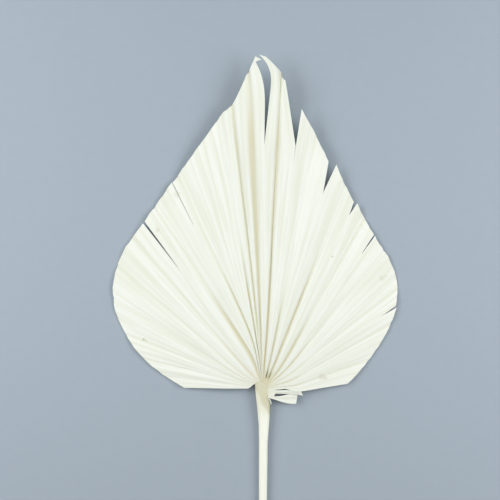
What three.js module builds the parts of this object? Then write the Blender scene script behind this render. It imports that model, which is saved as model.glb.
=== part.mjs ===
// A dried, bleached fan-palm leaf lying on its back: a pleated blade trimmed to a spade shape, and its stalk.
// Millimetres, +Z up. The leaf is drawn about its hub, where the folds meet, with its tip towards +Y,
// and the whole group is then moved so that the origin is at the bottom centre of its box.
import * as THREE from "three";

const { degToRad, lerp, smoothstep } = THREE.MathUtils;

// The fan of folds. Each line has a bearing in degrees from +Y, positive towards +X, and passes the hub this many
// mm to its own right. Near the hub it bends in to the stalk, over its own length in mm or else the common one.
const LEFT_EDGE = [-90, 0];
const RIGHT_EDGE = [81.4, 5.9];
const VALLEYS = [
  [-84, 0.5], [-76.5, 0], [-68.3, -1], [-58.2, -2.1], [-49, -2.8], [-40.8, -1], [-33.3, 5.5, 17],
  [-23.5, 5.7, 20], [-9.6, 0], [-6.75, 0.35], [-2.85, -0.8, 36], [2.6, 0.1], [11, 0], [21.2, 0],
  [29.4, 3], [39.7, 3.3], [51.3, 3.4], [61, 4.3], [71, 5.2],
];
const GATHER_LENGTH = 12;
const VALLEY_FLAT = 0.5; // degrees across the blunt bottom of a fold
const RIDGE_FLAT = 0.3; // degrees across the blunt top of a fold
const EDGE_CREST = 0.6; // how high a free edge stands between valley (0) and ridge (1)

// The sheet and its relief.
const SHEET = 0.6; // thickness of the dried blade with its ribs
const BASE_RADIUS = 6.3; // where the folds leave the tongue of the stalk
const HUB_RADIUS = 9; // the folds are all joined up to here
const CROWN_HEIGHT = 10.2; // underside of the ridges over the middle
const LOBE_HEIGHT = 1.35; // underside of the ridges at the sides
const CROWN_WIDTH = 42; // how far the crown spreads to either side
const HUB_HEIGHT = 7.6; // underside of the ridges beside the stalk
const TIP_LIFT = 5; // the tip rises off the table
const BLADE_LENGTH = 233;
const SIDE_DEPTH = 1.5; // depth of the flattened folds at the sides
const MIDDLE_DEPTH = 9; // depth of the tight folds in the middle
const MIDDLE_BEARING = -2; // the tight folds lie about this bearing
const TIGHT_SPREAD = 6.5; // and reach this far to each side at the tip
const TIGHT_SPREAD_AT_HUB = 40; // and this much further at the hub
const LOOSEN_LENGTH = 45; // the tight folds open out over this radius
const DEPTH_AT_STALK = 0.35; // share of that depth with which the folds leave the stalk
const DEPTH_GROWS_OVER = 40; // and the radius at which they have all of it

// The trimmed edge, from the lower left corner round the tip to the lower right corner.
const LEFT_CORNER = [-55.5, -0.5];
const LEFT_LOBE = [[-112, 30], [-115, 73]];
const LEFT_CUT = [[-96.3, 101.2], [-29, 192.9]];
const TIP_STEPS = [[-22.3, 197.8], [-18.9, 204], [-12.6, 218.6], [-1, BLADE_LENGTH], [10.9, 220.7]];
const RIGHT_CUT = [[13.6, 214.7], [87.4, 91.1]];
const RIGHT_LOBE = [[102, 66], [90, 33]];
const RIGHT_CORNER = [58.3, 2.6];
const LOBE_DIVISIONS = 24;

// Splits along the ridge after the valley with this number: the radius of the inner end, and for the left and
// right lip how far it has moved aside at the edge, how far its tip has curled back, how far it stands up, and
// its own reach.
const SPLITS = [
  { after: 5, apex: 112, lips: [{ aside: -0.7, lift: 0 }, { aside: 0.9, lift: 0.8 }] },
  { after: 6, apex: 135, lips: [{ aside: -0.5, lift: 0.6 }, { aside: 0.6, lift: 0 }] },
  {
    after: 10,
    apex: 172,
    lips: [{ aside: -0.6, curl: -6, lift: 2, reach: 231.5 }, { aside: 6, curl: -8, lift: 4, reach: 233.5 }],
  },
  { after: 11, apex: 171, lips: [{ aside: -13, lift: 2, reach: 216 }, { aside: 0.6, lift: 3, reach: 197 }] },
  { after: 12, apex: 144, lips: [{ aside: -2.5, lift: 1.5 }, { aside: 3.2, lift: 0.5 }] },
  { after: 13, apex: 136, lips: [{ aside: -1, lift: 0.3 }, { aside: 1.4, lift: 1 }] },
  { after: 14, apex: 117, lips: [{ aside: -0.6, lift: 0.8 }, { aside: 0.8, lift: 0.2 }] },
  { after: 16, apex: 98, lips: [{ aside: -0.3, lift: 0.4 }, { aside: 0.9, lift: 0 }] },
];
const CURL_FROM = 0.58; // share of a lip's free length where its curl begins

// Two short strips torn off beside the stalk at the right. The edges of each are curves from the stalk to its free
// end, and its lines, with these crests, lie evenly between them.
const TORN_STRIPS = [
  {
    upper: [[4.4, -1.4], [11, -2.8], [18, -3.2], [25.5, -2.5]],
    lower: [[4.3, -3.4], [11, -3.7], [19, -4.6], [27, -5.2]],
    crests: [0.3, 0.9, 0.4],
  },
  {
    upper: [[4.3, -4.3], [9, -6.6], [16, -5.3], [23.4, -5.4]],
    lower: [[4.2, -6.6], [9, -7.8], [13, -10.9], [22.2, -10.9]],
    crests: [0.4, 0.9, 0.3, 0.6],
  },
];
const TORN_JOINED = 0.08; // share of their length over which the strips are still joined
const TORN_DROOP = 2; // how far their free ends hang down

// Rows of the sheet from the hub to the edge.
const HUB_ROWS = 2;
const ROWS = 16;

// The stalk: half widths and half thicknesses at distances from the hub, positive towards the tip.
const STALK_LENGTH = 205;
const STALK_SIDES = 12;
const STALK_STATIONS = [
  { y: 6, halfWidth: 0.9, halfThick: 1.3, x: -0.6, z: 5.2 },
  { y: 4.3, halfWidth: 3.4, halfThick: 2.1, x: -0.9, z: 4.9 },
  { y: 1.5, halfWidth: 4.9, halfThick: 2.8, x: -1.1, z: 4.8 },
  { y: -6, halfWidth: 4.9, halfThick: 3.1, x: -0.8, z: 4.7 },
  { y: -16, halfWidth: 4.4, halfThick: 2.9, x: -0.5, z: 4.3 },
  { y: -26, halfWidth: 3.7, halfThick: 2.6, x: -0.4, z: 4 },
  { y: -38, halfWidth: 3.1, halfThick: 2.4, x: -0.8, z: 3.6 },
  { y: -78, halfWidth: 2.9, halfThick: 2.3, x: -1, z: 2.9 },
  { y: -140, halfWidth: 3, halfThick: 2.4, x: -1.6, z: 2.5 },
  { y: -STALK_LENGTH, halfWidth: 3.3, halfThick: 2.5, x: -2.6, z: 2.5 },
];
const FLATTER_FRONT = 0.75; // the front of the stalk is flatter than its back

const BLADE_FINISH = new THREE.MeshStandardMaterial({ color: 0xf3f4ea, roughness: 0.75, metalness: 0 });
const STALK_FINISH = new THREE.MeshStandardMaterial({ color: 0xe9e6d2, roughness: 0.6, metalness: 0 });

const bell = (x, width) => Math.exp(-((x / width) ** 2));

// The trimmed edge as a chain of points.
function trimmedEdge() {
  const edge = new THREE.Path();
  edge.moveTo(...LEFT_CORNER);
  edge.bezierCurveTo(...LEFT_LOBE[0], ...LEFT_LOBE[1], ...LEFT_CUT[0]);
  for (const step of [LEFT_CUT[1], ...TIP_STEPS, ...RIGHT_CUT]) edge.lineTo(...step);
  edge.bezierCurveTo(...RIGHT_LOBE[0], ...RIGHT_LOBE[1], ...RIGHT_CORNER);
  return edge.getPoints(LOBE_DIVISIONS);
}

// Unit vectors along a bearing and to its right.
function bearingAxes(bearing) {
  const turn = degToRad(bearing);
  const along = new THREE.Vector2(Math.sin(turn), Math.cos(turn));
  return { along, right: new THREE.Vector2(along.y, -along.x) };
}

// How far a line of the fan runs before the trimmed edge cuts it.
function reachOf([bearing, offset], edge) {
  const { along, right } = bearingAxes(bearing);
  for (let i = 1; i < edge.length; i++) {
    const side = edge[i].clone().sub(edge[i - 1]);
    const start = edge[i - 1].clone().addScaledVector(right, -offset);
    const turn = along.cross(side);
    const share = start.cross(along) / turn;
    const reach = start.cross(side) / turn;
    if (share >= 0 && share <= 1 && reach > 0) return reach;
  }
  throw new Error(`no trimmed edge at ${bearing} degrees`);
}

// Height of the ridges' underside over the table, from the plan position.
function crownHeight(x, y, radius) {
  const crown = lerp(LOBE_HEIGHT, CROWN_HEIGHT, bell(x, CROWN_WIDTH));
  const beside = lerp(HUB_HEIGHT, crown, smoothstep(radius, BASE_RADIUS, DEPTH_GROWS_OVER));
  return beside + TIP_LIFT * smoothstep(y, BLADE_LENGTH / 2, BLADE_LENGTH);
}

// Depth of the valleys below the ridges: tight near the hub and along the middle, open at the sides.
function foldDepth(bearing, radius) {
  const spread = TIGHT_SPREAD + TIGHT_SPREAD_AT_HUB * Math.exp(-radius / LOOSEN_LENGTH);
  const grown = lerp(DEPTH_AT_STALK, 1, Math.min(1, radius / DEPTH_GROWS_OVER));
  return SIDE_DEPTH + (MIDDLE_DEPTH - SIDE_DEPTH) * bell(bearing - MIDDLE_BEARING, spread) * grown;
}

// The row of the sheet that lies nearest a radius, on a line with this reach.
const rowAt = (radius, reach) =>
  HUB_ROWS + Math.round(((radius - HUB_RADIUS) / (reach - HUB_RADIUS)) * (ROWS - HUB_ROWS));

// The line midway between two lines of the fan.
function midway([bearingA, offsetA, gatherA = GATHER_LENGTH], [bearingB, offsetB, gatherB = GATHER_LENGTH]) {
  return [(bearingA + bearingB) / 2, (offsetA + offsetB) / 2, (gatherA + gatherB) / 2];
}

// The columns of the sheet, one along each crease line. A blunt fold has two, and a split parts its ridge's two.
function creaseColumns(edge) {
  const columns = [];
  const add = ([bearing, offset, gather = GATHER_LENGTH], crest, own = {}) => {
    const reach = own.reach ?? reachOf([bearing, offset], edge);
    const whole = { apex: reach, freeRow: ROWS, aside: 0, curl: 0, lift: 0 };
    columns.push({ bearing, offset, gather, crest, ...whole, ...own, reach });
  };
  const beside = ([bearing, ...bend], degrees) => [bearing + degrees, ...bend];
  const addRidge = (after) => {
    const ridge = midway(VALLEYS[after], VALLEYS[after + 1]);
    const split = SPLITS.find((s) => s.after === after);
    const free = split && { apex: split.apex, freeRow: rowAt(split.apex, reachOf(ridge, edge)) };
    add(beside(ridge, -RIDGE_FLAT / 2), 1, { ...free, ...split?.lips[0], openAfter: Boolean(split) });
    add(beside(ridge, RIDGE_FLAT / 2), 1, { ...free, ...split?.lips[1] });
  };
  add(LEFT_EDGE, EDGE_CREST);
  VALLEYS.forEach((valley, i) => {
    if (i > 0) addRidge(i - 1);
    add(beside(valley, -VALLEY_FLAT / 2), 0);
    add(beside(valley, VALLEY_FLAT / 2), 0);
  });
  add(RIGHT_EDGE, EDGE_CREST, { apex: HUB_RADIUS, freeRow: HUB_ROWS, openAfter: true });
  for (const { upper, lower, crests } of TORN_STRIPS) {
    crests.forEach((crest, i) => {
      const last = crests.length - 1;
      columns.push({ curve: curveBetween(upper, lower, i / last), crest, freeRow: HUB_ROWS, openAfter: i === last });
    });
  }
  return columns;
}

// The curve that lies this share of the way from one curve to another.
function curveBetween(upper, lower, share) {
  const points = upper.map((point, i) => new THREE.Vector2(...point).lerp(new THREE.Vector2(...lower[i]), share));
  return new THREE.CubicBezierCurve(...points);
}

// Radius of a row on a column: even steps to the hub radius, then to a split's inner end, then to the edge.
function rowRadius({ apex, freeRow, reach }, row) {
  if (row <= HUB_ROWS) return lerp(BASE_RADIUS, HUB_RADIUS, row / HUB_ROWS);
  if (row <= freeRow) return lerp(HUB_RADIUS, apex, (row - HUB_ROWS) / (freeRow - HUB_ROWS));
  return lerp(apex, reach, (row - freeRow) / (ROWS - freeRow));
}

// Underside of the fan on a column at a row.
function fanPoint(column, row) {
  const radius = rowRadius(column, row);
  const loose = Math.max(0, (row - column.freeRow) / (ROWS - column.freeRow || 1));
  const curled = Math.max(0, (loose - CURL_FROM) / (1 - CURL_FROM));
  const gathered = column.offset * (1 - bell(radius, column.gather));
  const aside = gathered + column.aside * loose + column.curl * curled ** 2;
  const { along, right } = bearingAxes(column.bearing);
  const { x, y } = along.multiplyScalar(radius).addScaledVector(right, aside);
  const depth = foldDepth(column.bearing, radius) * (1 - column.crest);
  const z = crownHeight(x, y, radius) - depth + column.lift * loose ** 2;
  return new THREE.Vector3(x, y, Math.max(0, z));
}

// Underside of a torn strip on a column at a row.
function stripPoint({ curve, crest }, row) {
  const free = (row - HUB_ROWS) / (ROWS - HUB_ROWS);
  const share = free < 0 ? (TORN_JOINED * row) / HUB_ROWS : lerp(TORN_JOINED, 1, free);
  const { x, y } = curve.getPoint(share);
  const z = crownHeight(x, y, Math.hypot(x, y)) - SIDE_DEPTH * (1 - crest) - TORN_DROOP * share ** 2;
  return new THREE.Vector3(x, y, z);
}

// A thin closed sheet: quads between neighbouring columns, a copy one thickness higher, and walls round every rim.
function pleatedSheet(columns) {
  const points = columns.flatMap((column) =>
    Array.from({ length: ROWS + 1 }, (_, row) => (column.curve ? stripPoint : fanPoint)(column, row)),
  );
  const id = (column, row) => column * (ROWS + 1) + row;
  const under = [];
  for (let c = 0; c + 1 < columns.length; c++) {
    const joined = columns[c].openAfter ? columns[c].freeRow : ROWS;
    for (let r = 0; r < joined; r++) {
      under.push([id(c, r), id(c, r + 1), id(c + 1, r)], [id(c + 1, r), id(c, r + 1), id(c + 1, r + 1)]);
    }
  }
  const over = (i) => i + points.length;
  const triangles = under.flatMap(([a, b, c]) => [a, b, c, over(a), over(c), over(b)]);
  const edges = new Set(under.flatMap(([a, b, c]) => [`${a},${b}`, `${b},${c}`, `${c},${a}`]));
  for (const edge of edges) {
    const [a, b] = edge.split(",").map(Number);
    if (!edges.has(`${b},${a}`)) triangles.push(a, over(a), b, b, over(a), over(b));
  }
  const positions = [0, SHEET].flatMap((rise) => points.flatMap((p) => [p.x, p.y, p.z + rise]));
  const sheet = new THREE.BufferGeometry();
  sheet.setAttribute("position", new THREE.Float32BufferAttribute(positions, 3));
  sheet.setIndex(triangles);
  return sheet;
}

// The stalk: a closed tube whose rings follow the stations, flatter in front than behind.
function stalkGeometry() {
  const rings = STALK_STATIONS.length - 1;
  const stalk = new THREE.CylinderGeometry(1, 1, rings, STALK_SIDES, rings);
  const position = stalk.attributes.position;
  for (let i = 0; i < position.count; i++) {
    const station = STALK_STATIONS[Math.round(rings / 2 - position.getY(i))];
    const across = position.getX(i);
    const up = position.getZ(i);
    const thick = up > 0 ? FLATTER_FRONT : 1;
    position.setXYZ(
      i,
      station.x + across * station.halfWidth,
      station.y,
      station.z + up * thick * station.halfThick,
    );
  }
  return stalk;
}

function named(name, geometry, finish) {
  const mesh = new THREE.Mesh(geometry, finish);
  mesh.name = name;
  return mesh;
}

const leaf = new THREE.Group();
leaf.add(named("leaf_blade", pleatedSheet(creaseColumns(trimmedEdge())), BLADE_FINISH));
leaf.add(named("petiole", stalkGeometry(), STALK_FINISH));

// The origin goes to the middle of the table under the leaf.
const box = new THREE.Box3().setFromObject(leaf);
const middle = box.getCenter(new THREE.Vector3());
leaf.position.set(-middle.x, -middle.y, -box.min.z);

export default leaf;
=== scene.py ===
"""A dried, bleached fan-palm leaf that lies on its back: a pleated blade and its stalk.

Objects are in metres, in the part's frame. The leaf's classes hold their sizes in mm from the hub,
where the folds meet.
"""

import logging
from dataclasses import astuple, dataclass, field
from enum import Enum

import bpy
import numpy as np
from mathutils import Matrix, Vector


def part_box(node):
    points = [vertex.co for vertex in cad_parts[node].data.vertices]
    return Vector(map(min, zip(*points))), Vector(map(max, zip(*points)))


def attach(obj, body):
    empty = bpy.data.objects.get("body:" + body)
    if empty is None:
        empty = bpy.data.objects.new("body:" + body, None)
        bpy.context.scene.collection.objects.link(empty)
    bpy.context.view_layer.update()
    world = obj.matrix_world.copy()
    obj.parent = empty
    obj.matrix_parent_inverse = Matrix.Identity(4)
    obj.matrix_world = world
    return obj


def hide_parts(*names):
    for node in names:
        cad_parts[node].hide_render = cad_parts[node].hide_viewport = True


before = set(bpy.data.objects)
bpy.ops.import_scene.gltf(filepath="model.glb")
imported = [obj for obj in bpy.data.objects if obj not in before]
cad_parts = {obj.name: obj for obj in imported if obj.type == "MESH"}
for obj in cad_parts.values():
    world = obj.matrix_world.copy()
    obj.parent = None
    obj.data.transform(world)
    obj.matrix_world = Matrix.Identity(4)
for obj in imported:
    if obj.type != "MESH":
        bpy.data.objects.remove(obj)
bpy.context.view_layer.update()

LOG = logging.getLogger("palm_leaf")
MM = 0.001
NEVER = 1e6  # a radius in mm that nothing reaches
STALK_TOP_ABOVE_HUB = 6.0 * MM
STALK_FLARE_RIGHT_OF_HUB = 4.1 * MM
MIX_FACTOR, MIX_A, MIX_B, MIX_RESULT = 0, 6, 7, 2  # sockets of a Mix node that mixes colours


def to_linear(colour: str) -> tuple[float, float, float, float]:
    """Turn an sRGB hex colour into linear values.

    Args:
        colour: a colour such as "#F5F8F0".

    Returns:
        Linear red, green and blue, and full alpha.
    """
    parts = [int(colour[i:i + 2], 16) / 255 for i in (1, 3, 5)]
    linear = [c / 12.92 if c <= 0.04045 else ((c + 0.055) / 1.055) ** 2.4 for c in parts]
    return (*linear, 1.0)


def add_node(tree: bpy.types.NodeTree, kind: str, settings: dict | None = None,
             inputs: dict | None = None) -> bpy.types.Node:
    """Add a node with its settings and links.

    Args:
        tree: the node tree that it goes into.
        kind: the node's type name.
        settings: its properties by name.
        inputs: its inputs by name or number, each a value or another node's output socket.

    Returns:
        The new node.
    """
    node = tree.nodes.new(kind)
    for name, value in (settings or {}).items():
        setattr(node, name, value)
    for name, value in (inputs or {}).items():
        if isinstance(value, bpy.types.NodeSocket):
            tree.links.new(value, node.inputs[name])
        else:
            node.inputs[name].default_value = value
    return node


def new_material(name: str) -> tuple[bpy.types.Material, bpy.types.NodeTree]:
    """Make an empty node material.

    Args:
        name: the material's name.

    Returns:
        The material and its cleared node tree.
    """
    material = bpy.data.materials.new(name)
    material.use_nodes = True
    material.node_tree.nodes.clear()
    return material, material.node_tree


def smoothstep(value: np.ndarray, low: float, high: float) -> np.ndarray:
    """Rise smoothly from 0 at low to 1 at high."""
    share = np.clip((value - low) / (high - low), 0.0, 1.0)
    return share * share * (3.0 - 2.0 * share)


def bell(value: np.ndarray, width: np.ndarray | float) -> np.ndarray:
    """Fall from 1 at the middle to near 0 beyond twice the width."""
    return np.exp(-((value / width) ** 2))


def curve(controls: tuple[tuple[float, float], ...], share: np.ndarray) -> np.ndarray:
    """Follow a curve with four control points.

    Args:
        controls: its start, two handles and end.
        share: shares of the way along it.

    Returns:
        One point per share.
    """
    a, b, c, d = (np.array(point, float) for point in controls)
    t = share[:, None]
    return (1 - t) ** 3 * a + 3 * (1 - t) ** 2 * t * b + 3 * (1 - t) * t ** 2 * c + t ** 3 * d


def take_only(piece: bpy.types.Object) -> None:
    """Leave only this object selected and active."""
    bpy.ops.object.select_all(action="DESELECT")
    piece.select_set(True)
    bpy.context.view_layer.objects.active = piece


class Crease(Enum):
    """What the line at the far side of a face is."""

    RIDGE = "ridge"
    EDGE = "edge"


@dataclass(frozen=True)
class Line:
    """A line of the fan.

    Attributes:
        bearing: its direction in degrees from +Y.
        offset: how many mm to the hub's right it passes when drawn straight.
        gather: over how many mm from the hub it bends in.
        root: how many mm to the hub's right it then ends.
    """

    bearing: float
    offset: float
    gather: float = 12.0
    root: float = 0.0

    def towards(self, other: "Line", share: float) -> "Line":
        """Give the line that lies this share of the way to another one."""
        pairs = zip(astuple(self), astuple(other))
        return Line(*(mine + (theirs - mine) * share for mine, theirs in pairs))


@dataclass(frozen=True)
class Fold:
    """A valley of the fan.

    Attributes:
        line: the line that it follows.
        deep_to: the radius in mm to which it is deep.
        beyond: the share of its depth that is left beyond that.
        near: the share of its depth that it has near the hub.
        depth: its depth in mm.
        width: its width in degrees far out, or 0 for a narrow one.
        deep_from: the radius in mm where it sets in, or 0 for the hub.
        slot: how many mm deeper it gapes just above the stalk.
    """

    line: Line
    deep_to: float = 30.0
    beyond: float = 0.14
    near: float = 1.0
    depth: float = 1.6
    width: float = 0.0
    deep_from: float = 0.0
    slot: float = 0.0


@dataclass(frozen=True)
class Lip:
    """One side of a split.

    Attributes:
        aside: how many mm it has moved aside.
        curl: how many mm its end curls sideways.
        lift: how many mm it stands up.
        hook: how many mm its very end hooks over, in x and y.
        reach: how far from the hub it ends in mm, or None for the trimmed edge.
        curl_from: from what share of the split's length it curls.
    """

    aside: float = 0.0
    curl: float = 0.0
    lift: float = 0.0
    hook: tuple[float, float] = (0.0, 0.0)
    reach: float | None = None
    curl_from: float = 0.58


@dataclass(frozen=True)
class Split:
    """A split along a ridge, out to the trimmed edge.

    Attributes:
        after: the number of the valley before the ridge.
        apex: the radius in mm where it starts.
        left: the lip on its left.
        right: the lip on its right.
        ridge: where the ridge lies, as a share of the way to the next valley.
    """

    after: int
    apex: float
    left: Lip
    right: Lip
    ridge: float = 0.5


@dataclass(frozen=True)
class TornStrip:
    """A short strip torn off beside the stalk.

    Attributes:
        upper: its upper edge, a curve from the stalk to the free end.
        lower: its lower edge, drawn the same way.
        pleats: how many folds it has across.
        droop: how many mm its free end hangs.
        joined_rows: how many of its first rows are joined to the next strip.
    """

    upper: tuple[tuple[float, float], ...]
    lower: tuple[tuple[float, float], ...]
    pleats: float
    droop: float
    joined_rows: int

    def plan(self, across: np.ndarray, along: np.ndarray) -> np.ndarray:
        """Lay the strip out seen from above.

        Args:
            across: shares of the way from the upper to the lower edge, one per column.
            along: shares of the way from the stalk to the free end, one per row.

        Returns:
            x and y in mm from the hub, as columns by rows by two.
        """
        upper, lower = curve(self.upper, along), curve(self.lower, along)
        return upper + (lower - upper) * across[:, None, None]


@dataclass(frozen=True)
class Column:
    """One column of the blade's grid, this share of the way from its valley to its ridge."""

    line: Line
    fold: Fold
    share: float
    reach: float
    pleat: int
    lip: Lip = Lip()
    apex: float = NEVER
    open_from: float | None = None


@dataclass(frozen=True)
class BleachedBlade:
    """Bleached, air-dried palm blade: matt, papery, finely veined; a painted shade colour fills its fold
    grooves, and over the hub that colour is partly the base's own tone and partly painted shade.
    """

    white: str = "#F6F9F1"
    cream: str = "#EBEEDF"
    straw_and_shade: str = "#D7D2AE"
    stain: str = "#B9A77C"
    vein_degrees: float = 0.42  # about 1 mm apart near the edge, coarser than life so that they show
    streak_degrees: float = 1.3  # broader ribs, about 3 mm apart near the edge
    vein_length_mm: float = 60.0
    streak_length_mm: float = 90.0
    cloud_mm: float = 38.0
    bump_mm: float = 0.16
    see_through: float = 0.16

    def material(self, hub: Vector, stains: tuple[tuple[float, ...], ...]) -> bpy.types.Material:
        """Make the blade's material.

        Args:
            hub: where the folds meet, in metres.
            stains: small brown spots as x and y from the hub and radius, in mm, and strength.

        Returns:
            The material.
        """
        material, tree = new_material("bleached_palm_blade")
        bearing = add_node(tree, "ShaderNodeAttribute", {"attribute_name": "bearing"}).outputs["Fac"]
        radius = add_node(tree, "ShaderNodeAttribute", {"attribute_name": "radius"}).outputs["Fac"]
        straw_and_shade_mask = add_node(tree, "ShaderNodeAttribute", {"attribute_name": "straw_and_shade_mask"}).outputs["Fac"]
        place = add_node(tree, "ShaderNodeTexCoord").outputs["Object"]
        fan = add_node(tree, "ShaderNodeCombineXYZ", inputs={"X": bearing, "Y": radius}).outputs[0]
        grains = []
        for degrees, length_mm, detail in (
                (self.vein_degrees, self.vein_length_mm, 2.0),
                (self.streak_degrees, self.streak_length_mm, 3.0)):
            stretched = add_node(tree, "ShaderNodeVectorMath", {"operation": "DIVIDE"},
                                 {0: fan, 1: (degrees, length_mm, 1.0)})
            noise = add_node(tree, "ShaderNodeTexNoise", inputs={
                "Vector": stretched.outputs[0], "Scale": 1.0, "Detail": detail, "Roughness": 0.55})
            grains.append(noise.outputs["Fac"])
        veins, streaks = grains
        clouds = add_node(tree, "ShaderNodeTexNoise", inputs={
            "Vector": place, "Scale": 1 / (self.cloud_mm * MM), "Detail": 2.0}).outputs["Fac"]
        streak_share = add_node(tree, "ShaderNodeMapRange", inputs={
            "Value": streaks, "From Min": 0.36, "From Max": 0.62}).outputs[0]
        body = add_node(tree, "ShaderNodeMix", {"data_type": "RGBA"}, {
            MIX_FACTOR: streak_share, MIX_A: to_linear(self.cream),
            MIX_B: to_linear(self.white)}).outputs[MIX_RESULT]
        cloud_share = add_node(tree, "ShaderNodeMapRange", inputs={
            "Value": clouds, "From Min": 0.42, "From Max": 0.75, "To Max": 0.3}).outputs[0]
        clouded = add_node(tree, "ShaderNodeMix", {"data_type": "RGBA"}, {
            MIX_FACTOR: cloud_share, MIX_A: body, MIX_B: to_linear(self.cream)}).outputs[MIX_RESULT]
        # Painted shade: a darker yellow-brown stands in for the shade deep in the fold grooves; over the
        # hub it is partly the base's own tone.
        shaded = add_node(tree, "ShaderNodeMix", {"data_type": "RGBA"}, {
            MIX_FACTOR: straw_and_shade_mask, MIX_A: clouded, MIX_B: to_linear(self.straw_and_shade)}).outputs[MIX_RESULT]
        flat = add_node(tree, "ShaderNodeVectorMath", {"operation": "MULTIPLY"}, {0: place, 1: (1, 1, 0)})
        for x, y, size, strength in stains:
            spot = (hub.x + x * MM, hub.y + y * MM, 0.0)
            away = add_node(tree, "ShaderNodeVectorMath", {"operation": "DISTANCE"}, {
                0: flat.outputs[0], 1: spot})
            share = add_node(tree, "ShaderNodeMapRange", {"interpolation_type": "SMOOTHSTEP"}, {
                "Value": away.outputs["Value"], "From Min": 1.4 * size * MM, "From Max": 0.4 * size * MM,
                "To Max": strength})
            shaded = add_node(tree, "ShaderNodeMix", {"data_type": "RGBA"}, {
                MIX_FACTOR: share.outputs[0], MIX_A: shaded,
                MIX_B: to_linear(self.stain)}).outputs[MIX_RESULT]
        relief = add_node(tree, "ShaderNodeMath", {"operation": "MULTIPLY_ADD"}, {
            0: streaks, 1: 0.8, 2: veins})
        bump = add_node(tree, "ShaderNodeBump", inputs={
            "Strength": 0.55, "Distance": self.bump_mm * MM, "Height": relief.outputs[0]}).outputs[0]
        rough = add_node(tree, "ShaderNodeMapRange", inputs={
            "Value": veins, "From Min": 0.3, "From Max": 0.7, "To Min": 0.62, "To Max": 0.82}).outputs[0]
        lamina = add_node(tree, "ShaderNodeBsdfPrincipled", inputs={
            "Base Color": shaded, "Roughness": rough, "Normal": bump, "IOR": 1.42})
        glow = add_node(tree, "ShaderNodeBsdfTranslucent", inputs={"Color": shaded, "Normal": bump})
        mixed = add_node(tree, "ShaderNodeMixShader", inputs={
            0: self.see_through, 1: lamina.outputs[0], 2: glow.outputs[0]})
        add_node(tree, "ShaderNodeOutputMaterial", inputs={"Surface": mixed.outputs[0]})
        return material


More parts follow.
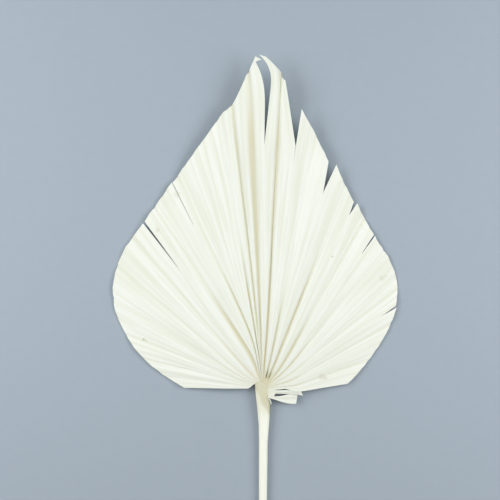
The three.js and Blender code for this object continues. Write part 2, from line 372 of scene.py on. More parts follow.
@dataclass(frozen=True)
class DriedStalk:
    """Dried palm stalk: smooth cream rind with fibres along it, and a pale yellow-brown top under the folds
    that is partly its own tone and partly painted shade from the blade's base.
    """

    rind: str = "#F4F7EB"
    fibre: str = "#E9EBDA"
    neck: str = "#E6E7D3"
    straw_and_shade: str = "#CBC8AA"
    pith: str = "#CDB98C"
    fibre_mm: float = 0.55  # fibres drawn about twice as coarse as life so that they show
    fibre_length_mm: float = 40.0
    blotch_mm: float = 9.0
    straw_and_shade_slope: float = 1.6
    straw_and_shade_below_hub_mm: float = 6.0
    bump_mm: float = 0.12

    def material(self, hub: Vector, end_y: float) -> bpy.types.Material:
        """Make the stalk's material.

        Args:
            hub: where the folds meet, in metres.
            end_y: the height of the cut end on the Y axis, in metres.

        Returns:
            The material.
        """
        material, tree = new_material("dried_palm_stalk")
        place = add_node(tree, "ShaderNodeTexCoord").outputs["Object"]
        stretched = add_node(tree, "ShaderNodeVectorMath", {"operation": "DIVIDE"}, {
            0: place, 1: (self.fibre_mm * MM, self.fibre_length_mm * MM, self.fibre_mm * MM)})
        fibres = add_node(tree, "ShaderNodeTexNoise", inputs={
            "Vector": stretched.outputs[0], "Scale": 1.0, "Detail": 3.0, "Roughness": 0.6}).outputs["Fac"]
        blotches = add_node(tree, "ShaderNodeTexNoise", inputs={
            "Vector": place, "Scale": 1 / (self.blotch_mm * MM), "Detail": 3.0}).outputs["Fac"]
        fibre_share = add_node(tree, "ShaderNodeMapRange", inputs={
            "Value": fibres, "From Min": 0.35, "From Max": 0.68}).outputs[0]
        rind = add_node(tree, "ShaderNodeMix", {"data_type": "RGBA"}, {
            MIX_FACTOR: fibre_share, MIX_A: to_linear(self.rind),
            MIX_B: to_linear(self.fibre)}).outputs[MIX_RESULT]
        axes = add_node(tree, "ShaderNodeSeparateXYZ", inputs={"Vector": place})
        lean = add_node(tree, "ShaderNodeMath", {"operation": "MULTIPLY_ADD"}, {
            0: axes.outputs["X"], 1: self.straw_and_shade_slope, 2: axes.outputs["Y"]}).outputs[0]
        wander = add_node(tree, "ShaderNodeMath", {"operation": "MULTIPLY_ADD"}, {
            0: blotches, 1: 10 * MM, 2: lean}).outputs[0]
        neck_share = add_node(tree, "ShaderNodeMapRange", {"interpolation_type": "SMOOTHSTEP"}, {
            "Value": axes.outputs["Y"], "From Min": hub.y - 24 * MM,
            "From Max": hub.y - 13 * MM}).outputs[0]
        necked = add_node(tree, "ShaderNodeMix", {"data_type": "RGBA"}, {
            MIX_FACTOR: neck_share, MIX_A: rind, MIX_B: to_linear(self.neck)}).outputs[MIX_RESULT]
        # Painted shade: the yellow-brown top, reaching further down on the right, is partly the base's own
        # tone and partly the shade that the blade's base casts.
        edge = hub.y + self.straw_and_shade_slope * hub.x - self.straw_and_shade_below_hub_mm * MM
        top_straw_and_shade = add_node(tree, "ShaderNodeMapRange", {"interpolation_type": "SMOOTHSTEP"}, {
            "Value": wander, "From Min": edge - 4 * MM, "From Max": edge + 3 * MM,
            "To Max": 0.9}).outputs[0]
        topped = add_node(tree, "ShaderNodeMix", {"data_type": "RGBA"}, {
            MIX_FACTOR: top_straw_and_shade, MIX_A: necked, MIX_B: to_linear(self.straw_and_shade)}).outputs[MIX_RESULT]
        cut_share = add_node(tree, "ShaderNodeMapRange", inputs={
            "Value": axes.outputs["Y"], "From Min": end_y + 1.2 * MM,
            "From Max": end_y + 0.2 * MM}).outputs[0]
        coloured = add_node(tree, "ShaderNodeMix", {"data_type": "RGBA"}, {
            MIX_FACTOR: cut_share, MIX_A: topped, MIX_B: to_linear(self.pith)}).outputs[MIX_RESULT]
        rough = add_node(tree, "ShaderNodeMapRange", inputs={
            "Value": fibres, "From Min": 0.3, "From Max": 0.7, "To Min": 0.42, "To Max": 0.62}).outputs[0]
        bump = add_node(tree, "ShaderNodeBump", inputs={
            "Strength": 0.5, "Distance": self.bump_mm * MM, "Height": fibres}).outputs[0]
        surface = add_node(tree, "ShaderNodeBsdfPrincipled", inputs={
            "Base Color": coloured, "Roughness": rough, "Normal": bump, "IOR": 1.45})
        add_node(tree, "ShaderNodeOutputMaterial", inputs={"Surface": surface.outputs[0]})
        return material


@dataclass(frozen=True)
class PaintedBoard:
    """Painted board: an even matt blue-grey with the faintest roller mottling."""

    paint: str = "#9EA9B3"
    mottle: str = "#9AA5AF"
    mottle_mm: float = 6.0

    def material(self) -> bpy.types.Material:
        """Make the board's material."""
        material, tree = new_material("painted_board")
        place = add_node(tree, "ShaderNodeTexCoord").outputs["Object"]
        mottling = add_node(tree, "ShaderNodeTexNoise", inputs={
            "Vector": place, "Scale": 1 / (self.mottle_mm * MM), "Detail": 3.0}).outputs["Fac"]
        paint = add_node(tree, "ShaderNodeMix", {"data_type": "RGBA"}, {
            MIX_FACTOR: mottling, MIX_A: to_linear(self.paint),
            MIX_B: to_linear(self.mottle)}).outputs[MIX_RESULT]
        surface = add_node(tree, "ShaderNodeBsdfPrincipled", inputs={"Base Color": paint, "Roughness": 0.9})
        add_node(tree, "ShaderNodeOutputMaterial", inputs={"Surface": surface.outputs[0]})
        return material


@dataclass
class LeafBlade:
    """The pleated blade, trimmed to a spade, with its splits, curled tip and torn strips. Sizes in mm."""

    hub: Vector
    finish: BleachedBlade = BleachedBlade()
    thickness: float = 0.4
    base_radii: tuple[float, float, float] = (6.4, 4.4, 2.2)
    hub_radius: float = 9.0
    hub_rows: int = 6
    rows: int = 118
    crown_height: float = 10.2
    lobe_height: float = 1.35
    crown_width: float = 42.0
    hub_height: float = 6.7
    hub_swell: float = 0.5
    base_sink: float = 0.3
    tip_lift: float = 5.0
    length: float = 233.0
    pleat_depth: float = 0.55
    groove_half_width: float = 0.7
    edge_crest: float = 0.6
    column_degrees: float = 0.6
    crowding: float = 1.8
    lip_share: float = 0.992
    slot_radius: float = 9.6
    slit_radius: float = 14.5
    left_edge: Line = Line(-90.0, 0.0)
    right_edge: Line = Line(81.4, 5.9)
    folds: tuple[Fold, ...] = (
        Fold(Line(-84, 0.5), 20, 0.08, 0.15), Fold(Line(-76.5, 0), 25, 0.12, 0.3),
        Fold(Line(-68.3, -1), 28, 0.14, 0.4), Fold(Line(-58.2, -2.1), 30, 0.14, 0.4),
        Fold(Line(-49, -2.8), 35, 0.16, 0.45), Fold(Line(-40.8, -1), 42, 0.18, 0.55),
        Fold(Line(-33.3, 5.5, 15.5), 62, 0.26), Fold(Line(-25, 8.1, 25), 75, 0.24),
        Fold(Line(-9.6, 0, 22, -0.6), 84, 0.05, 1, 2.2),
        Fold(Line(-6.55, 0.35, 36, -0.75), 80, 0.75, 1, 1.5, 0.75, 46),
        Fold(Line(-2.6, -0.8, 36, -1.0), 75, 0.85, 1, 2.2, 1.75, 28),
        Fold(Line(3.0, -0.1, 36, -1.3), 90, 0.78, 1.2, 2.2, 0.85),
        Fold(Line(11.5, 0, 12, -0.6), 56, 0.06, 1, 2.4, slot=2.2),
        Fold(Line(21.7, 0, 12, -0.4), 84, 0.12, 1, 2.4, slot=1.8),
        Fold(Line(29.4, 3), 49, 0.24), Fold(Line(39.7, 3.3), 38, 0.18, 0.9),
        Fold(Line(51.3, 3.4), 30, 0.16, 0.5), Fold(Line(61, 4.3), 26, 0.14, 0.6),
        Fold(Line(71, 5.2), 25, 0.12, 0.5))
    splits: tuple[Split, ...] = (
        Split(5, 105, Lip(aside=-0.6), Lip(aside=0.9, lift=0.8)),
        Split(6, 125, Lip(aside=-0.1, lift=0.5), Lip(aside=0.1), 0.78),
        Split(10, 172, Lip(curl=-11, lift=2, hook=(8.3, -4.2), reach=233.2, curl_from=0.35),
              Lip(aside=6, curl=-10.5, lift=4, reach=232.4)),
        Split(11, 171, Lip(aside=-13, lift=2, reach=215), Lip(aside=0.6, lift=3, reach=197)),
        Split(12, 144, Lip(aside=-2.5, lift=1.5), Lip(aside=3.2, lift=0.5)),
        Split(13, 136, Lip(aside=-1, lift=0.3), Lip(aside=1.4, lift=1)),
        Split(14, 117, Lip(aside=-0.5, lift=0.8), Lip(aside=0.6, lift=0.2)),
        Split(16, 98, Lip(aside=-0.3, lift=0.4), Lip(aside=0.9)))
    strips: tuple[TornStrip, ...] = (
        TornStrip(((2.0, -0.6), (9, -2.2), (17, -0.2), (25.5, -1.6)),
                  ((2.1, -3.0), (11, -4.3), (19, -3.0), (27, -5.2)), 1.0, 1.1, 6),
        TornStrip(((2.1, -3.4), (9, -8.2), (15, -3.2), (23.4, -3.6)),
                  ((2.4, -6.4), (9, -7.8), (13, -10.9), (22.2, -10.9)), 1.5, 2.6, 1),
        TornStrip(((2.6, -6.5), (4.4, -7.6), (5.0, -9.2), (5.0, -11.2)),
                  ((2.5, -7.2), (3.5, -8.2), (3.9, -9.4), (4.3, -11.3)), 0.5, 1.5, 0))
    strip_columns: int = 9
    strip_joined: float = 0.22
    corner_rise: float = 3.4
    slit_rise: float = 2.0
    left_lobe: tuple[tuple[float, float], ...] = ((-55.5, -0.5), (-112, 30), (-115, 73), (-96.3, 101.2))
    tip_steps: tuple[tuple[float, float], ...] = (
        (-29, 192.9), (-22.3, 197.8), (-18.9, 203.6), (-12.7, 219), (-6.3, 224.6), (-3.1, 232.8),
        (1, 232.2), (4.2, 230.6), (7.7, 225.6), (11.3, 220.4), (13.6, 213.8))
    right_lobe: tuple[tuple[float, float], ...] = ((87.4, 91.1), (102, 66), (90, 33), (58.3, 2.6))
    stains: tuple[tuple[float, ...], ...] = (
        # x, y, radius, strength
        (-85, 34, 1.0, 0.5), (-83.4, 33.2, 0.7, 0.35), (47.7, 92.4, 0.7, 0.5), (40.2, 8, 2.4, 0.2),
        (43, 7.2, 1.5, 0.2), (-61.5, 136, 2.4, 0.16), (-75, 111, 1.7, 0.2),
        (82.8, 77, 1.9, 0.2), (85.3, 78.6, 1.1, 0.2))
    seed: int = 7
    grid: list[Column] = field(default_factory=list)

    def trimmed_edge(self) -> np.ndarray:
        """Give the trimmed edge as points, from the lower left corner round to the lower right."""
        share = np.linspace(0.0, 1.0, 33)
        left, right = curve(self.left_lobe, share), curve(self.right_lobe, share)
        return np.vstack([left, np.array(self.tip_steps), right])

    def reach_of(self, line: Line, edge: np.ndarray) -> float:
        """Find how far a line runs before the trimmed edge cuts it.

        Args:
            line: the line of the fan.
            edge: the trimmed edge's points.

        Returns:
            The distance from the hub along the line, in mm.
        """
        turn = np.radians(line.bearing)
        along = np.array((np.sin(turn), np.cos(turn)))
        right = np.array((along[1], -along[0]))
        starts, sides = edge[:-1] - line.offset * right, np.diff(edge, axis=0)
        cross = along[0] * sides[:, 1] - along[1] * sides[:, 0]
        share = (starts[:, 0] * along[1] - starts[:, 1] * along[0]) / cross
        reach = (starts[:, 0] * sides[:, 1] - starts[:, 1] * sides[:, 0]) / cross
        return float(reach[(share >= 0) & (share <= 1) & (reach > 0)][0])

    def faces(self) -> list[tuple[Fold, Line, Crease, int]]:
        """Give the fan's faces from left to right; one before its valley and one after it take turns.

        Returns:
            Each face's valley, its far line, what that line is, and the number of its pleat.
        """
        ridges = {split.after: split.ridge for split in self.splits}
        found = [(self.folds[0], self.left_edge, Crease.EDGE, 0)]
        for pleat, (fold, following) in enumerate(zip(self.folds, self.folds[1:])):
            ridge = fold.line.towards(following.line, ridges.get(pleat, 0.5))
            found += [(fold, ridge, Crease.RIDGE, pleat), (following, ridge, Crease.RIDGE, pleat)]
        return found + [(self.folds[-1], self.right_edge, Crease.EDGE, len(self.folds) - 1)]

    def columns(self) -> list[Column]:
        """Lay out the fan's columns: a few across each face, crowded at its valley, and two at a split.

        Returns:
            The columns from left to right.
        """
        edge = self.trimmed_edge()
        splits = {split.after: split for split in self.splits}
        found: list[Column] = []
        for fold, far, kind, pleat in self.faces():
            rising = far.bearing > fold.line.bearing
            split = splits.get(pleat) if kind is Crease.RIDGE else None
            lip = (split.left if rising else split.right) if split else Lip()
            width = abs(far.bearing - fold.line.bearing)
            steps = int(np.clip(round(width / self.column_degrees), 6, 9))
            shares = (np.arange(steps + 1) / steps) ** self.crowding * (self.lip_share if split else 1.0)
            if rising:
                shares = shares[1:]
            elif split or not found:
                shares = shares[::-1]
            else:
                shares = shares[-2::-1]
            for share in shares:
                line = fold.line.towards(far, share)
                reach = self.reach_of(line, edge)
                if lip.reach:
                    reach += (lip.reach - self.reach_of(far, edge)) * share
                crest = share * (self.edge_crest if kind is Crease.EDGE else 1.0)
                at_lip = split and rising and share == shares[-1]
                found.append(Column(line, fold, crest, reach, pleat, lip, split.apex if split else NEVER,
                                    split.apex if at_lip else None))
        return found

    def per_column(self, values: list[float]) -> np.ndarray:
        """Stand one number per column up as an array that spreads over the rows."""
        return np.array(values, float)[:, None]

    def radii(self) -> np.ndarray:
        """Give the radius of every row on every column: even steps to the hub radius, then to the edge.

        Returns:
            Radii in mm, as columns by rows.
        """
        rng = np.random.default_rng(self.seed)
        bearings = np.array([c.line.bearing for c in self.grid])
        reach = np.array([c.reach for c in self.grid])
        worn = np.arange(-92.0, 92.0, 1.3)
        fray = np.interp(bearings, worn, rng.normal(0, 0.3, len(worn))) + rng.normal(0, 0.1, len(reach))
        reach = reach + fray * smoothstep(reach, 20, 60)
        base = np.interp(bearings, (-90, 0, 82), self.base_radii)[:, None]
        inner = np.linspace(0.0, 1.0, self.hub_rows + 1)
        outer = np.linspace(0.0, 1.0, self.rows - self.hub_rows + 1)[1:]
        return np.hstack([base + (self.hub_radius - base) * inner,
                          self.hub_radius + (reach[:, None] - self.hub_radius) * outer])

    def plan(self, radius: np.ndarray, loose: np.ndarray) -> tuple[np.ndarray, np.ndarray]:
        """Work out where every point lies seen from above.

        Args:
            radius: the radius of each point.
            loose: how far along a split's free lip each point is, 0 to 1.

        Returns:
            x and y in mm from the hub.
        """
        grid = self.grid
        bearing = self.per_column([c.line.bearing for c in grid])
        share = self.per_column([c.share for c in grid])
        curl_from = self.per_column([c.lip.curl_from for c in grid])
        curled = np.clip((loose - curl_from) / (1 - curl_from), 0.0, 1.0) ** 3
        aside = share * (self.per_column([c.lip.aside for c in grid]) * loose
                         + self.per_column([c.lip.curl for c in grid]) * curled)
        hooked = np.clip((loose - 0.915) / 0.085, 0.0, 1.0) * share ** 2
        wobble = 0.3 * np.sin(radius / 31.0 + bearing * 0.21) * smoothstep(radius, 30, 140)
        offset = self.per_column([c.line.offset for c in grid])
        root = self.per_column([c.line.root for c in grid])
        gathered = bell(radius, self.per_column([c.line.gather for c in grid]))
        across = offset + (root - offset) * gathered + aside + wobble
        turn = np.radians(bearing)
        hook_x = self.per_column([c.lip.hook[0] for c in grid])
        hook_y = self.per_column([c.lip.hook[1] for c in grid])
        x = np.sin(turn) * radius + np.cos(turn) * across + hook_x * hooked
        y = np.cos(turn) * radius - np.sin(turn) * across + hook_y * hooked
        corner = (1 - smoothstep(radius, 6.0, 12.0)) * np.clip((-bearing - 20) / 70, 0.0, 1.0)
        slit = bell(radius - self.slit_radius, 4.5) * np.clip((bearing - 68) / 13.4, 0.0, 1.0)
        return x, y + self.corner_rise * corner + self.slit_rise * slit

    def grooves(self, radius: np.ndarray) -> tuple[np.ndarray, np.ndarray]:
        """Work out the grooves at the bottoms of the folds: narrow, steeper on the side towards the middle.

        Args:
            radius: the radius of each point.

        Returns:
            How deep each point lies below the face in mm, and how much painted shade colour it gets there.
        """
        grid = self.grid
        away = self.per_column([c.line.bearing - c.fold.line.bearing for c in grid])
        middle = self.per_column([c.fold.line.bearing for c in grid])
        width = self.per_column([c.fold.width for c in grid])
        beyond = self.per_column([c.fold.beyond for c in grid])
        near = self.per_column([c.fold.near for c in grid])
        deep_to = self.per_column([c.fold.deep_to for c in grid])
        deep_from = self.per_column([c.fold.deep_from for c in grid])
        lasting = beyond + (near - beyond) * (1 - smoothstep(radius / deep_to, 0.7, 1.35))
        starting = 0.35 + 0.65 * smoothstep(radius - deep_from, -22.0, 14.0)
        ending = 1.0 - 0.65 * smoothstep(radius, 172, 208)
        strength = lasting * np.where(deep_from > 0, starting, 1.0) * ending
        narrow = self.groove_half_width * (0.75 + 0.25 * smoothstep(radius, 15, 45))
        half = np.maximum(0.5 * np.radians(width) * np.minimum(radius, 165), narrow)
        outward = np.where(away * middle > 0, 1.15, 0.85)
        away = np.abs(np.radians(away)) * radius / (half * outward)
        depth = self.per_column([c.fold.depth for c in grid]) * (0.32 + 0.68 * smoothstep(radius, 50, 140))
        slot = self.per_column([c.fold.slot for c in grid]) * bell(radius - self.slot_radius, 2.6)
        sunk = depth * strength * smoothstep(radius, 3, 16) + slot
        return sunk * np.exp(-away ** 2), strength * np.exp(-away ** 4)

    def crown(self, x: np.ndarray, y: np.ndarray, radius: np.ndarray) -> np.ndarray:
        """Give the height of the ridges' underside: seated on the stalk, domed, and rising to the tip.

        Args:
            x: places across, in mm from the hub.
            y: places along, in mm from the hub.
            radius: the radius of each point.

        Returns:
            Heights in mm over the table.
        """
        dome = self.lobe_height + (self.crown_height - self.lobe_height) * bell(x, self.crown_width)
        seat = (self.hub_height + self.hub_swell * bell(x + 1.2, 3.4)
                - self.base_sink * (1 - smoothstep(radius, 3, 9)))
        return (seat + (dome - seat) * smoothstep(radius, 6.3, 40.0)
                + self.tip_lift * smoothstep(y, self.length / 2, self.length))

    def fan(self) -> dict[str, np.ndarray]:
        """Work out the underside of the fan and what its finish needs to know.

        Returns:
            "place" in mm from the hub as columns by rows by three; "bearing", "radius" and "groove" per
            point; and "open_row", the row from which each column is cut free of the next.
        """
        rng = np.random.default_rng(self.seed + 1)
        grid = self.grid
        radius = self.radii()
        bearing = self.per_column([c.line.bearing for c in grid])
        share = self.per_column([c.share for c in grid])
        apex = self.per_column([c.apex for c in grid])
        reach = radius[:, -1:]
        loose = np.clip((radius - apex) / np.maximum(reach - apex, 1.0), 0.0, 1.0)
        x, y = self.plan(radius, loose)
        sunk, groove_shade = self.grooves(radius)
        uneven = rng.uniform(-1, 1, (len(self.folds) + 1, 3))[[c.pleat for c in grid]]
        z = self.crown(x, y, radius) - sunk
        z -= self.pleat_depth * (1 - share) ** 1.2 * smoothstep(radius, 8, 60)
        z += self.per_column([c.lip.lift for c in grid]) * loose ** 2 * share ** 0.6
        z += 0.35 * uneven[:, 2:3] * share * smoothstep(radius, 40, 120)
        z += 0.06 * np.sin(bearing * 9.0 + 5 * uneven[:, :1]) * share * smoothstep(radius, 18, 70)
        rim = smoothstep(radius / reach, 0.72, 1.0) * smoothstep(radius, 40, 90)
        z += 0.6 * np.sin(bearing * 0.33 + 1.2) * rim
        # Painted shade where the folds meet over the stalk and along one deep fold nearby; at the hub it is
        # partly the base's own tone.
        hub_straw_and_shade = np.maximum(0.92 * bell(radius, 9.5) * bell(bearing - 4.0, 48.0),
                              0.6 * bell(radius - 18.0, 13.0) * bell(bearing + 6.2, 3.2))
        opened = self.per_column([c.open_from or NEVER for c in grid])
        open_row = (radius < opened - 0.01).sum(axis=1) - 1
        open_row[-1] = self.hub_rows
        # Painted shade: the fold grooves' shade colour, or the hub's where that is stronger.
        straw_and_shade_mask = np.clip(np.maximum(0.9 * groove_shade, hub_straw_and_shade), 0.0, 1.0)
        return {"place": np.stack([x, y, np.maximum(z, 0.0)], axis=-1), "bearing": bearing + 0 * radius,
                "radius": radius, "straw_and_shade_mask": straw_and_shade_mask, "open_row": open_row}

    def torn(self, strip: TornStrip) -> dict[str, np.ndarray]:
        """Work out the underside of a torn strip.

        Args:
            strip: the strip.

        Returns:
            The same as for the fan.
        """
        across = np.linspace(0.0, 1.0, self.strip_columns)
        along = np.hstack([np.linspace(0.0, self.strip_joined, self.hub_rows + 1),
                           np.linspace(self.strip_joined, 1.0, self.rows - self.hub_rows + 1)[1:]])
        plan = strip.plan(across, along)
        x, y = plan[..., 0], plan[..., 1]
        radius = np.hypot(x, y)
        crest = 0.5 - 0.5 * np.cos(2 * np.pi * strip.pleats * across[:, None] + 0.6)
        z = self.crown(x, y, radius) - strip.droop * along ** 2
        z -= 0.5 * (1 - crest) * smoothstep(along, 0.0, 0.3)
        open_row = np.full(self.strip_columns, self.rows + 1)
        open_row[-1] = strip.joined_rows
        # Painted shade near the hub and in the strip's pleat valleys.
        straw_and_shade_mask = 0.3 * bell(radius, 7.0) + 0.08 * (1 - crest)
        return {"place": np.stack([x, y, z], axis=-1), "bearing": 90 + 12 * across[:, None] + 0 * radius,
                "radius": radius, "straw_and_shade_mask": straw_and_shade_mask, "open_row": open_row}

    def sheet(self) -> dict[str, np.ndarray]:
        """Join the fan and the torn strips into one sheet, column after column."""
        self.grid = self.columns()
        parts = [self.fan()] + [self.torn(strip) for strip in self.strips]
        return {name: np.concatenate([part[name] for part in parts]) for name in parts[0]}

    def build(self) -> bpy.types.Object:
        """Model the blade: a flat grid, its splits cut out, folded into the fan, then thickened.

        Returns:
            The blade, in place.
        """
        sheet = self.sheet()
        across, along = len(sheet["place"]) - 1, self.rows
        bpy.ops.object.select_all(action="DESELECT")
        bpy.ops.mesh.primitive_grid_add(x_subdivisions=across, y_subdivisions=along, size=2.0)
        blade = bpy.context.object
        blade.name = blade.data.name = "leaf_blade_visual"
        bpy.ops.object.mode_set(mode="EDIT")
        bpy.ops.mesh.select_mode(type="FACE")
        bpy.ops.mesh.select_all(action="DESELECT")
        bpy.ops.object.mode_set(mode="OBJECT")
        for face in blade.data.polygons:
            column = int((face.center.x + 1) / 2 * across)
            row = int((face.center.y + 1) / 2 * along)
            face.select = bool(row >= sheet["open_row"][column])
        bpy.ops.object.mode_set(mode="EDIT")
        bpy.ops.mesh.delete(type="FACE")
        bpy.ops.object.mode_set(mode="OBJECT")
        flat = np.empty(len(blade.data.vertices) * 3)
        blade.data.vertices.foreach_get("co", flat)
        flat = flat.reshape(-1, 3)
        column = np.rint((flat[:, 0] + 1) / 2 * across).astype(int)
        row = np.rint((flat[:, 1] + 1) / 2 * along).astype(int)
        folded = sheet["place"][column, row] * MM + np.array((self.hub.x, self.hub.y, 0.0))
        blade.data.vertices.foreach_set("co", folded.ravel())
        for name in ("bearing", "radius", "straw_and_shade_mask"):
            layer = blade.data.attributes.new(name, "FLOAT", "POINT")
            layer.data.foreach_set("value", sheet[name][column, row].astype(np.float32))
        bpy.ops.object.mode_set(mode="EDIT")
        bpy.ops.mesh.select_all(action="SELECT")
        bpy.ops.mesh.extrude_region_move(TRANSFORM_OT_translate={"value": (0, 0, self.thickness * MM)})
        bpy.ops.mesh.select_all(action="SELECT")
        bpy.ops.mesh.normals_make_consistent(inside=False)
        bpy.ops.object.mode_set(mode="OBJECT")
        take_only(blade)
        bpy.ops.object.shade_smooth_by_angle(angle=np.radians(50))
        return blade

    def dress(self, blade: bpy.types.Object) -> None:
        """Give the blade its finish and put it in the CAD blade's place."""
        blade.data.materials.append(self.finish.material(self.hub, self.stains))
        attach(blade, "root")
        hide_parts("leaf_blade")


@dataclass
class Petiole:
    """The stalk: a tongue where the folds meet, a flared neck and a shaft with a cut end. Sizes in mm."""

    hub: Vector
    finish: DriedStalk = DriedStalk()
    sides: int = 32
    rings: int = 64
    flatter_front: float = 0.75
    channel: float = 0.35
    ring_crowding: float = 2.2
    cut_inset: float = 0.82
    cut_recess: float = 0.25
    stations: tuple[tuple[float, float, float, float, float], ...] = (
        # y, half width, half thickness, x, z
        (6.5, 0.8, 1.2, -0.8, 5.3), (5.6, 3.4, 2.3, -1.3, 5.1), (4.2, 5.25, 2.85, -1.7, 5.0),
        (1.5, 5.2, 3.1, -1.45, 4.8), (-6.0, 5.0, 3.1, -0.95, 4.7), (-16.0, 4.4, 2.9, -0.5, 4.3),
        (-26.0, 3.7, 2.6, -0.4, 4.0),
        (-38.0, 3.1, 2.4, -0.8, 3.6), (-78.0, 2.9, 2.3, -1.0, 2.9), (-140.0, 3.0, 2.4, -1.6, 2.5),
        (-205.0, 3.3, 2.5, -2.6, 2.5))

    def ring_heights(self) -> np.ndarray:
        """Give the rings' heights on the Y axis from the tongue's tip down: close together at the top."""
        share = np.linspace(0.0, 1.0, self.rings)
        top, end = self.stations[0][0], self.stations[-1][0]
        return top + (end - top) * share ** self.ring_crowding

    def ring_points(self, y: float) -> np.ndarray:
        """Give the points of one ring.

        Args:
            y: the ring's height on the Y axis, in mm from the hub.

        Returns:
            One point per side, in mm from the hub.
        """
        table = np.array(self.stations)[::-1]
        half_width, half_thick, x, z = (np.interp(y, table[:, 0], table[:, i]) for i in range(1, 5))
        turn = np.linspace(0.0, 2 * np.pi, self.sides, endpoint=False)
        ribs = 1.0 + 0.012 * np.sin(7 * turn + 0.02 * y) + 0.008 * np.sin(11 * turn - 0.05 * y)
        fullness = 1.0 - 0.5 * smoothstep(np.float64(y), -22, -4)
        up = np.where(np.sin(turn) > 0, self.flatter_front * np.abs(np.sin(turn)) ** fullness, np.sin(turn))
        front = bell(np.cos(turn), 0.4) * (np.sin(turn) > 0)
        channel = self.channel * front * smoothstep(np.float64(-y), 8, 40)
        return np.stack([x + half_width * np.cos(turn) * ribs, np.full(self.sides, y),
                         np.maximum(z + half_thick * up * ribs - channel, 0.0)], axis=-1)

    def build(self) -> bpy.types.Object:
        """Model the stalk: a disc drawn out ring by ring to the stalk's sections, with the end inset.

        Returns:
            The stalk, in place.
        """
        bpy.ops.object.select_all(action="DESELECT")
        bpy.ops.mesh.primitive_circle_add(vertices=self.sides, radius=MM, fill_type="NGON")
        stalk = bpy.context.object
        stalk.name = stalk.data.name = "petiole_visual"
        heights = self.ring_heights()
        bpy.ops.object.mode_set(mode="EDIT")
        bpy.ops.mesh.select_mode(type="FACE")
        bpy.ops.mesh.select_all(action="SELECT")
        for height, following in zip(heights, heights[1:]):
            drop = (0, 0, (following - height) * MM)
            bpy.ops.mesh.extrude_region_move(TRANSFORM_OT_translate={"value": drop})
        bpy.ops.object.mode_set(mode="OBJECT")
        rings = np.array([self.ring_points(y) for y in heights]).reshape(-1, 3)
        place = rings * MM + np.array((self.hub.x, self.hub.y, 0.0))
        stalk.data.vertices.foreach_set("co", place.ravel())
        bpy.ops.object.mode_set(mode="EDIT")
        bpy.ops.mesh.select_all(action="SELECT")
        bpy.ops.mesh.normals_make_consistent(inside=False)
        bpy.ops.mesh.select_all(action="DESELECT")
        bpy.ops.object.mode_set(mode="OBJECT")
        end = min(stalk.data.polygons, key=lambda face: face.center.y)
        end.select = True
        middle = tuple(end.center)
        bpy.ops.object.mode_set(mode="EDIT")
        bpy.ops.mesh.extrude_region_move(TRANSFORM_OT_translate={"value": (0, 0, 0)})
        bpy.ops.transform.resize(value=(self.cut_inset, 1.0, self.cut_inset), center_override=middle)
        bpy.ops.mesh.extrude_region_move(TRANSFORM_OT_translate={"value": (0, self.cut_recess * MM, 0)})
        bpy.ops.object.mode_set(mode="OBJECT")
        take_only(stalk)
        bpy.ops.object.shade_smooth_by_angle(angle=np.radians(40))
        return stalk

    def dress(self, stalk: bpy.types.Object) -> None:
        """Give the stalk its finish and put it in the CAD stalk's place."""
        end_y = self.hub.y + self.stations[-1][0] * MM
        stalk.data.materials.append(self.finish.material(self.hub, end_y))
        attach(stalk, "root")
        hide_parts("petiole")


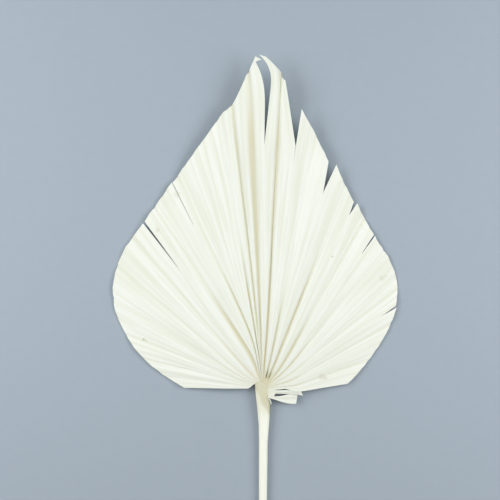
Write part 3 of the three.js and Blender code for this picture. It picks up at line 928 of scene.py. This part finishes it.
@dataclass
class Studio:
    """The floor, the soft lights and a camera that looks straight down on the leaf. Sizes in metres."""

    hub: Vector
    board: PaintedBoard = PaintedBoard()
    frame_width: float = 0.35
    frame_centre: tuple[float, float] = (-10.15 * MM, 96.95 * MM)
    lens_mm: float = 100.0
    sensor_mm: float = 36.0
    leaf_plane: float = 0.007
    floor_size: float = 6.0
    floor_drop: float = 0.05 * MM
    leaf_middle: float = 0.09
    surround: str = "#F4F6FA"
    surround_strength: float = 0.25

    def floor(self) -> None:
        """Lay the floor just under the leaf."""
        bpy.ops.object.select_all(action="DESELECT")
        bpy.ops.mesh.primitive_plane_add(size=self.floor_size, location=(0, 0, -self.floor_drop))
        bpy.ops.object.transform_apply(location=True, rotation=True, scale=True)
        floor = bpy.context.object
        floor.name = "floor"
        floor.data.materials.append(self.board.material())

    def lights(self) -> None:
        """Hang a large soft light over the leaf, one at each side, and a dim even surround."""
        middle = self.hub + Vector((0, self.leaf_middle, 0))
        for name, offset, size, power in (
                ("key_left", Vector((-0.55, 0.1, 0.5)), 0.45, 3.5),
                ("key_right", Vector((0.55, 0.05, 0.5)), 0.45, 3.3),
                ("overhead", Vector((0.0, 0.25, 1.6)), 1.0, 5.5)):
            lamp = bpy.data.lights.new(name, "AREA")
            lamp.size = size
            lamp.energy = power
            holder = bpy.data.objects.new(name, lamp)
            holder.location = middle + offset
            holder.rotation_euler = (-offset).to_track_quat("-Z", "Y").to_euler()
            bpy.context.scene.collection.objects.link(holder)
        world = bpy.data.worlds.new("surround")
        world.use_nodes = True
        surround = world.node_tree.nodes["Background"]
        surround.inputs["Color"].default_value = to_linear(self.surround)
        surround.inputs["Strength"].default_value = self.surround_strength
        bpy.context.scene.world = world

    def camera(self) -> None:
        """Set the camera square over the leaf, framed as it is in the photograph."""
        lens = bpy.data.cameras.new("camera")
        lens.lens = self.lens_mm
        lens.sensor_width = self.sensor_mm
        distance = self.frame_width * self.lens_mm / self.sensor_mm
        camera = bpy.data.objects.new("camera", lens)
        camera.location = (self.hub.x + self.frame_centre[0], self.hub.y + self.frame_centre[1],
                           self.leaf_plane + distance)
        bpy.context.scene.collection.objects.link(camera)
        bpy.context.scene.camera = camera
        bpy.context.scene.view_settings.view_transform = "Standard"


def find_hub() -> Vector:
    """Find the hub from the top and the flare of the CAD stalk."""
    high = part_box("petiole")[1]
    return Vector((high.x - STALK_FLARE_RIGHT_OF_HUB, high.y - STALK_TOP_ABOVE_HUB, 0.0))


def main() -> None:
    """Build the leaf's pieces in order, dress them, and set the studio."""
    logging.basicConfig(level=logging.INFO, format="%(name)s: %(message)s")
    hub = find_hub()
    for maker in (LeafBlade(hub), Petiole(hub)):
        piece = maker.build()
        maker.dress(piece)
        LOG.info("%s: %d faces", piece.name, len(piece.data.polygons))
    studio = Studio(hub)
    studio.floor()
    studio.lights()
    studio.camera()


if __name__ == "__main__":
    main()
